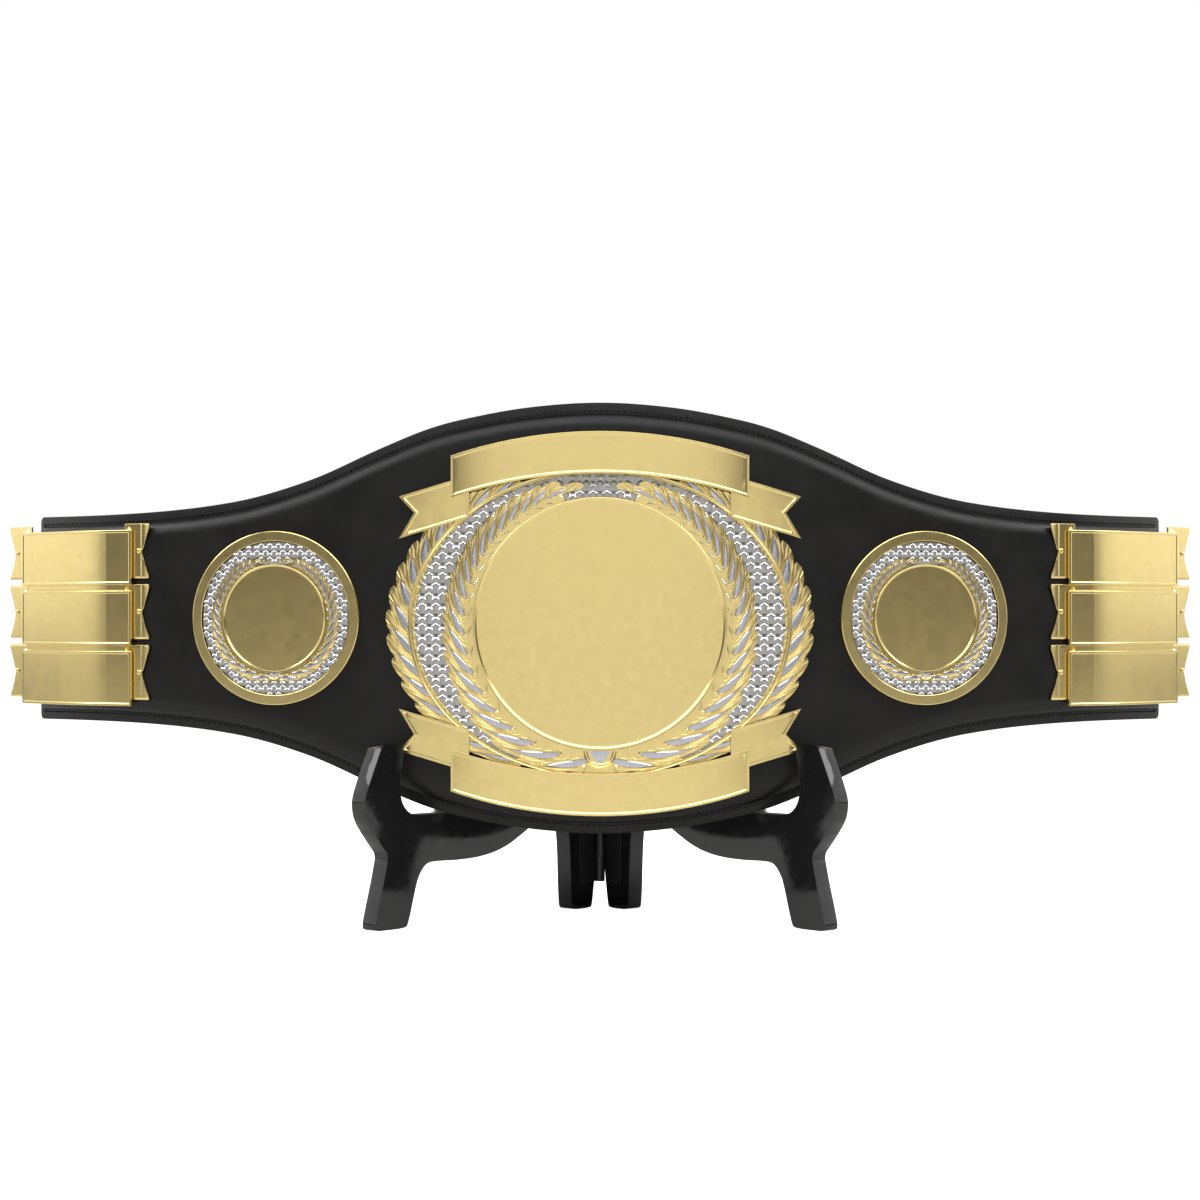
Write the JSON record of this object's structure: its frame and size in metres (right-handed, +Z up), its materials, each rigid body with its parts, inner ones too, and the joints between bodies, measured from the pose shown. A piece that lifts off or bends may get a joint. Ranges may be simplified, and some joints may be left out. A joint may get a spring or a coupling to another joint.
{
  "type": "championship title belt on easel stand",
  "caption": "Padded leather title belt with a large laurel centre plate, side medallions and folded end plates, held open on a small hinged easel stand.",
  "frame": {"origin": "centre of the box, on the surface that the stand's feet rest on", "axes": "+X along the belt to the viewer's right, +Y from the front of the plates towards the back of the stand, +Z up"},
  "size_m": [0.8624, 0.1806, 0.3575],
  "materials": {
    "gold": "gold-plated casting, satin brushed",
    "silver": "silver-plated relief, satin",
    "leather": "smooth black leather, satin",
    "stand": "polished black",
    "hinge": "black, satin"
  },
  "bodies": {
    "root": {"strap_backing": "leather", "strap_pad": "leather", "main_back_plate": "gold", "main_outer_wreath_left": "gold", "main_outer_wreath_right": "gold", "main_round_wreath": "gold", "main_disc": "gold", "top_ribbon": "gold", "bottom_ribbon": "gold", "medallion_rim_left": "gold", "medallion_wreath_left": "gold", "medallion_disc_left": "gold", "end_plate_left": "gold", "medallion_rim_right": "gold", "medallion_wreath_right": "gold", "medallion_disc_right": "gold", "end_plate_right": "gold", "end_pin_left_outer_1": "gold", "end_pin_left_outer_2": "gold", "end_pin_left_outer_3": "gold", "end_pin_left_inner_1": "gold", "end_pin_left_inner_2": "gold", "end_pin_left_inner_3": "gold", "end_pin_right_outer_1": "gold", "end_pin_right_outer_2": "gold", "end_pin_right_outer_3": "gold", "end_pin_right_inner_1": "gold", "end_pin_right_inner_2": "gold", "end_pin_right_inner_3": "gold", "main_scale_field": "silver", "medallion_scale_field_left": "silver", "medallion_scale_field_right": "silver", "easel_board_left": "stand", "easel_board_right": "stand", "hinge_leaf_left": "hinge", "hinge_leaf_right": "hinge", "hinge_pin": "hinge"}
  },
  "joints": []
}
